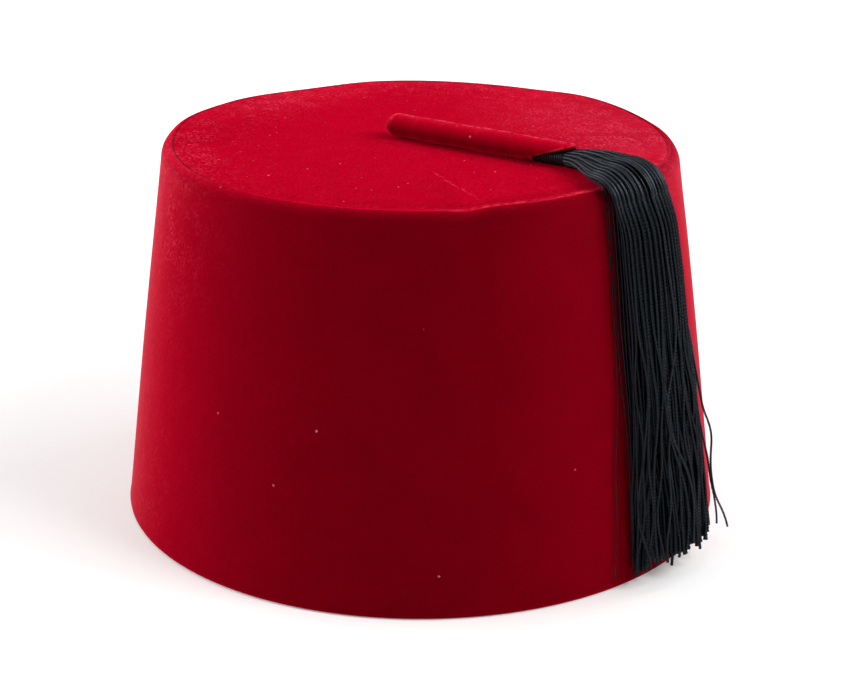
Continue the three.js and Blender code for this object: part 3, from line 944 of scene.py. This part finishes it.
def make_neck():
    """The neck: a core wound closely round with thread."""
    turns = (NECK_END - NECK_START - 1.0) / WINDING_PITCH
    angle = np.linspace(0, 2 * math.pi * turns, int(turns * WINDING_STEPS))
    x = NECK_START + 0.5 + angle / (2 * math.pi) * WINDING_PITCH
    outward = np.stack([0 * x, np.cos(angle), np.sin(angle)], -1)
    path = np.stack([x, np.full_like(x, STEM_OFFSET), np.full_like(x, NECK_HEIGHT)], -1)
    path = path + (NECK_RADIUS - 0.05) * outward
    sideways = np.cross(unit(np.gradient(path, axis=0)), outward)
    around = np.linspace(0, 2 * math.pi, WINDING_SIDES, endpoint=False)[None, :]
    winding = rings(path, WINDING_RADIUS, outward, sideways, around).reshape(-1, 3)

    turn = np.linspace(0, 2 * math.pi, NECK_CORE_SIDES, endpoint=False)
    core = np.concatenate([
        np.stack([0 * turn + at, STEM_OFFSET + r * np.cos(turn), NECK_HEIGHT + r * np.sin(turn)], -1)
        for at, r in NECK_CORE
    ])
    # Painted light: the winding takes the lightest tone, and the core the darkest
    parts = [
        (winding, flat_end_faces(len(path), WINDING_SIDES), 1.0),
        (core, flat_end_faces(len(NECK_CORE), NECK_CORE_SIDES), 0.0),
    ]
    neck = joined("tassel_neck", parts, THREAD)
    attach(neck, "root")
    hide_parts("tassel")


def course(name, distance):
    """One of the course's values, its table's corners rounded off."""
    values = np.interp(COURSE_GRID, COURSE["distance"], COURSE[name])
    rounded = np.convolve(values, COURSE_BLUR, "same")
    return np.interp(distance, COURSE_GRID[5:-5], rounded[5:-5])


def cloth_point(distance, azimuth, above):
    """A point above the cloth, at a distance along the course and an azimuth in degrees."""
    flat = CORNER_CENTRE - COURSE_START
    bend = CORNER_RADIUS * (math.pi / 2 - SIDE_SLOPE)
    turn = np.clip((distance - flat) / CORNER_RADIUS, 0, math.pi / 2 - SIDE_SLOPE)
    tilt = math.pi / 2 - turn
    down = np.maximum(distance - flat - bend, 0)
    corner_end = CORNER_HEIGHT + CORNER_RADIUS * math.sin(SIDE_SLOPE)
    on_bend = CORNER_HEIGHT + CORNER_RADIUS * np.sin(tilt)
    height = np.where(down > 0, corner_end - down * math.cos(SIDE_SLOPE), on_bend)
    radius = np.where(distance < flat, COURSE_START + distance, CORNER_CENTRE + CORNER_RADIUS * np.cos(tilt))
    radius = np.where(down > 0, side_radius(height), radius)
    rise = edge_rise(azimuth) * edge_share(radius, height)
    angle = np.radians(azimuth)
    reach = radius + above * np.cos(tilt)
    return np.stack([reach * np.cos(angle), reach * np.sin(angle), height + rise + above * np.sin(tilt)], -1)


def looseness(distance):
    """How much of its full room a cord has, which is less where the bundle is gathered towards the neck."""
    section = course("half", distance) * course("deep", distance)
    return np.clip(np.sqrt(section / FULL_SECTION), 0.45, 1)


def waves(draw, rows, distance, sizes):
    """Smooth random sideways motion along the bundle, one row for each cord or clump."""
    total = np.zeros((rows, len(distance)))
    for wavelength, size in sizes:
        phase = draw.uniform(0, 2 * math.pi, (rows, 1))
        strength = draw.normal(0, 1, (rows, 1))
        total += size * strength * np.sin(2 * math.pi * distance[None, :] / wavelength + phase)
    return total


def cord_homes(draw, distance):
    """Where each cord of the bundle would lie across it and above the cloth, and the clump it sways with."""
    angle = draw.uniform(0, 2 * math.pi, CORD_COUNT)
    spread = np.sqrt((np.arange(CORD_COUNT) + 0.5) / CORD_COUNT)
    start_across, start_above = spread * np.cos(angle), spread * np.sin(angle)
    centre_angle = np.arange(CLUMPS) * 2.4
    centre_spread = np.sqrt((np.arange(CLUMPS) + 0.5) / CLUMPS)
    aside = start_across[:, None] - centre_spread * np.cos(centre_angle)
    clump = np.hypot(aside, 0.6 * (start_above[:, None] - centre_spread * np.sin(centre_angle))).argmin(1)

    sway = waves(draw, CLUMPS, distance, ((110.0, 1.2), (58.0, 0.9)))
    own = waves(draw, CORD_COUNT, distance, ((90.0, 0.8), (47.0, 0.6), (24.0, 0.3)))
    rise = waves(draw, CORD_COUNT, distance, ((80.0, 0.5), (40.0, 0.4)))
    loosening = smooth(distance, *LOOSENS)[None, :]
    right_of_parting = (start_across > PARTING_PLACE) * np.exp(-np.abs(start_across - PARTING_PLACE) / 0.4)
    parting = PARTING_WIDTH * right_of_parting[:, None] * smooth(distance, *PARTS)
    laid_flat = (start_across < PARTING_PLACE)[:, None] * smooth(distance, *LIES_FLAT)
    home = start_across[:, None] * (course("half", distance) - CORD_RADIUS) + (sway[clump] + own) * loosening
    home = home + parting + 0.8 * laid_flat
    deep = course("deep", distance) - CORD_RADIUS
    rest = course("level", distance) + start_above[:, None] * deep + rise * loosening
    rest = rest + laid_flat * (0.45 * rest + 0.4 - rest)
    return home, rest, clump


def bundle_slices(draw, distance):
    """Where each cord lies across the bundle and above the cloth, pushed apart in each slice."""
    home, rest, clump = cord_homes(draw, distance)
    across, above = home.astype(np.float32), rest.astype(np.float32)
    room = (2 * CORD_RADIUS * looseness(distance)).astype(np.float32)
    itself = np.arange(CORD_COUNT)
    for step in range(PUSHING_STEPS):
        sideways = across[:, None, :] - across[None, :, :]
        upward = above[:, None, :] - above[None, :, :]
        gap = np.sqrt(sideways * sideways + upward * upward) + 1e-4
        push = np.clip(room / gap - 1, 0, 3) * PUSH
        push[itself, itself] = 0
        across += np.einsum("ijk,ijk->ik", push, sideways) + DRAW_BACK * (home - across)
        above += np.einsum("ijk,ijk->ik", push, upward) + DRAW_BACK * (rest - above)
        settling = step >= PUSHING_STEPS - SETTLING_STEPS
        stiffness = SETTLING_STIFFNESS if settling else STIFFNESS
        for track in (across, above):
            track[:, 1:-1] += stiffness * (track[:, :-2] + track[:, 2:] - 2 * track[:, 1:-1])
        above = np.maximum(above, CORD_RADIUS + 0.1)
    return across, above, clump


def loose_slices(draw, distance):
    """Cords that lie over the bundle, every other one proud near the neck, and wander over it lower down."""
    half, level, deep = course("half", distance), course("level", distance), course("deep", distance)
    start = np.linspace(0.2, 0.97, LOOSE_CORDS)[:, None] * math.pi
    drift = waves(draw, LOOSE_CORDS, distance, ((100.0, 0.19), (55.0, 0.13), (30.0, 0.05)))
    angle = np.clip(start + drift * smooth(distance, *WANDER), 0.25, math.pi + 0.25)
    evened = smooth(distance, *EVEN_OUT)
    near_neck = np.array(LOOSE_LIFT)[np.arange(LOOSE_CORDS) % 2][:, None]
    lift = (near_neck * (1 - evened) + LOOSE_LIFT_BELOW * evened) * CORD_RADIUS
    across = (half + lift) * np.cos(angle)
    above = level + (deep + lift) * np.sin(angle)
    return across, np.maximum(above, CORD_RADIUS + 0.1)


def resampled(distance, values, at):
    """A smooth cubic through values at even distances."""
    step = distance[1] - distance[0]
    index = np.clip(((at - distance[0]) / step).astype(int), 0, len(distance) - 2)
    t = (at - distance[index]) / step
    padded = np.concatenate([[2 * values[0] - values[1]], values, [2 * values[-1] - values[-2]]])
    a, b, c, e = padded[index], padded[index + 1], padded[index + 2], padded[index + 3]
    return b + 0.5 * t * (c - a + t * (2 * a - 5 * b + 4 * c - e + t * (3 * (b - c) + e - a)))


def cord_mesh(path, radius, plies=0, lay_length=1.0, phase=0.0):
    """Points and faces of one cord along a path, laid of round plies that wind round each other.

    radius is one number, or one for each point of the path. With no plies the cord is plain and round.
    """
    tangent = unit(np.gradient(path, axis=0))
    along = np.concatenate([[0], np.cumsum(np.linalg.norm(np.diff(path, axis=0), axis=1))])
    out = unit(np.stack([path[:, 0], path[:, 1], np.zeros(len(path))], -1))
    up = np.array([0, 0, 1.0])
    normal = out * np.clip(-tangent[:, 2:3], 0, 1) + up * np.clip(1 + tangent[:, 2:3], 0, 1)
    normal = unit(normal - tangent * (normal * tangent).sum(1, keepdims=True))
    sides = 2 * plies if plies else 6
    turn = 2 * math.pi * along / lay_length + phase if plies else 0 * along
    angle = np.linspace(0, 2 * math.pi, sides, endpoint=False)[None, :] + turn[:, None]
    shape = np.where(np.arange(sides) % 2, PLY_VALLEY if plies else 1.0, 1.0)
    size = np.broadcast_to(radius, len(path))[:, None, None] * shape[None, :, None]
    ring = rings(path, size, normal, np.cross(tangent, normal), angle)
    points = np.vstack([ring.reshape(-1, 3), path[:1], path[-1:]])
    return points, pole_faces(len(path), sides)


def bend_painted_highlight(at):
    """A painted highlight: how much lighter the cords are made where they bend over the crown's edge and lie
    tight and smooth.
    """
    return smooth(at, 3, 18) * smooth(-at, -34, -24)


def cord_path(at, across, above):
    """A cord's points, from its place across the bundle and above the cloth."""
    reach = np.hypot(*cloth_point(at, 0 * at, above)[:, :2].T)
    return cloth_point(at, course("middle", at) + np.degrees(across / reach), above)


def bundle_cords(draw):
    """The cords of the bundle and over it: those that show are twisted, and the ones under them are plain."""
    distance = np.arange(0, COURSE["distance"][-1] + SLICE, SLICE)
    across, above, clump = bundle_slices(draw, distance)
    outward = (above - course("level", distance)) / course("deep", distance)
    outer = (across / course("half", distance)) ** 2 + outward * np.abs(outward)
    shown = np.argsort(-outer[:, 12:].mean(1))[:SHOWN_CORDS]
    loose_across, loose_above = loose_slices(draw, distance)
    across = np.vstack([across, loose_across])
    above = np.vstack([above, loose_above])
    count = CORD_COUNT + LOOSE_CORDS
    clump_end = draw.uniform(*CLUMP_END, CLUMPS)
    own_end = np.append(clump_end[clump], np.zeros(LOOSE_CORDS)) + draw.uniform(*OWN_END, count)
    end = CORD_LENGTH - SOONER * above[:, -3] + own_end
    longer = draw.uniform(0, 1, count) > 1 - LONGER_SHARE
    end = np.minimum(end + LONGER_BY * longer, LONGEST_CORD)

    twisted, plain = [], []
    for cord in range(count):
        loose = cord >= CORD_COUNT
        fine = loose or cord in shown
        at = np.arange(0, end[cord], CORD_STEP if fine else PLAIN_STEP)
        path = cord_path(at, resampled(distance, across[cord], at), resampled(distance, above[cord], at))
        size = CORD_RADIUS * draw.uniform(*CORD_SIZE)
        if not fine:
            plain.append((*cord_mesh(path, size * 0.9), 0.0))
            continue
        gathered = size * np.clip(1.15 * looseness(at), LOOSE_LEAST_SIZE if loose else LEAST_SIZE, 1)
        mesh = cord_mesh(path, gathered, PLIES, draw.uniform(*LAY_LENGTH), draw.uniform(0, 6))
        own_tone = OWN_TONE * draw.uniform(0, 1) ** 3
        # A painted highlight where the cords bend, stronger on some cords than others
        tone_and_highlight = own_tone + BEND_PAINTED_HIGHLIGHT * draw.uniform(0, 1) ** 2 * bend_painted_highlight(at)
        # A painted highlight on the proud loose cords near the neck
        if loose:
            tone_and_highlight = tone_and_highlight + LOOSE_PAINTED_HIGHLIGHT[cord % 2] * (1 - smooth(at, 10, 26))
        twisted.append((*mesh, np.append(np.repeat(tone_and_highlight, 2 * PLIES), [own_tone, own_tone])))
    return twisted, plain


def stray_cords(draw):
    """The thin cords that hang apart from the bundle."""
    cords = []
    for route in STRAYS.values():
        knots = np.array(route["distance"], float)
        even = np.arange(0, knots[-1] + SLICE, SLICE)
        azimuth = np.interp(even, knots, route["azimuth"])
        lift = np.interp(even, knots, route["above"])
        for track in (azimuth, lift):
            track[1:-1] += 0.25 * (track[:-2] + track[2:] - 2 * track[1:-1])
        at = np.arange(0, knots[-1], CORD_STEP)
        path = cloth_point(at, resampled(even, azimuth, at), resampled(even, lift, at))
        cords.append((*cord_mesh(path, route["radius"], PLIES, STRAY_LAY, draw.uniform(0, 6)), STRAY_TONE))
    return cords


def make_cords():
    """The tassel's hanging cords, shared out over a few objects."""
    draw = np.random.default_rng(11)
    twisted, plain = bundle_cords(draw)
    twisted += stray_cords(draw)
    groups = {f"tassel_cords_{number}": twisted[number::4] for number in range(4)}
    groups["tassel_cords_core"] = plain
    for name, parts in groups.items():
        piece = joined(name, parts, THREAD)
        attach(piece, "root")


bpy.context.scene.view_settings.view_transform = "Standard"
make_camera()
make_floor()
make_surround()
make_lights()
make_side()
make_crown()
make_stem()
make_neck()
make_cords()
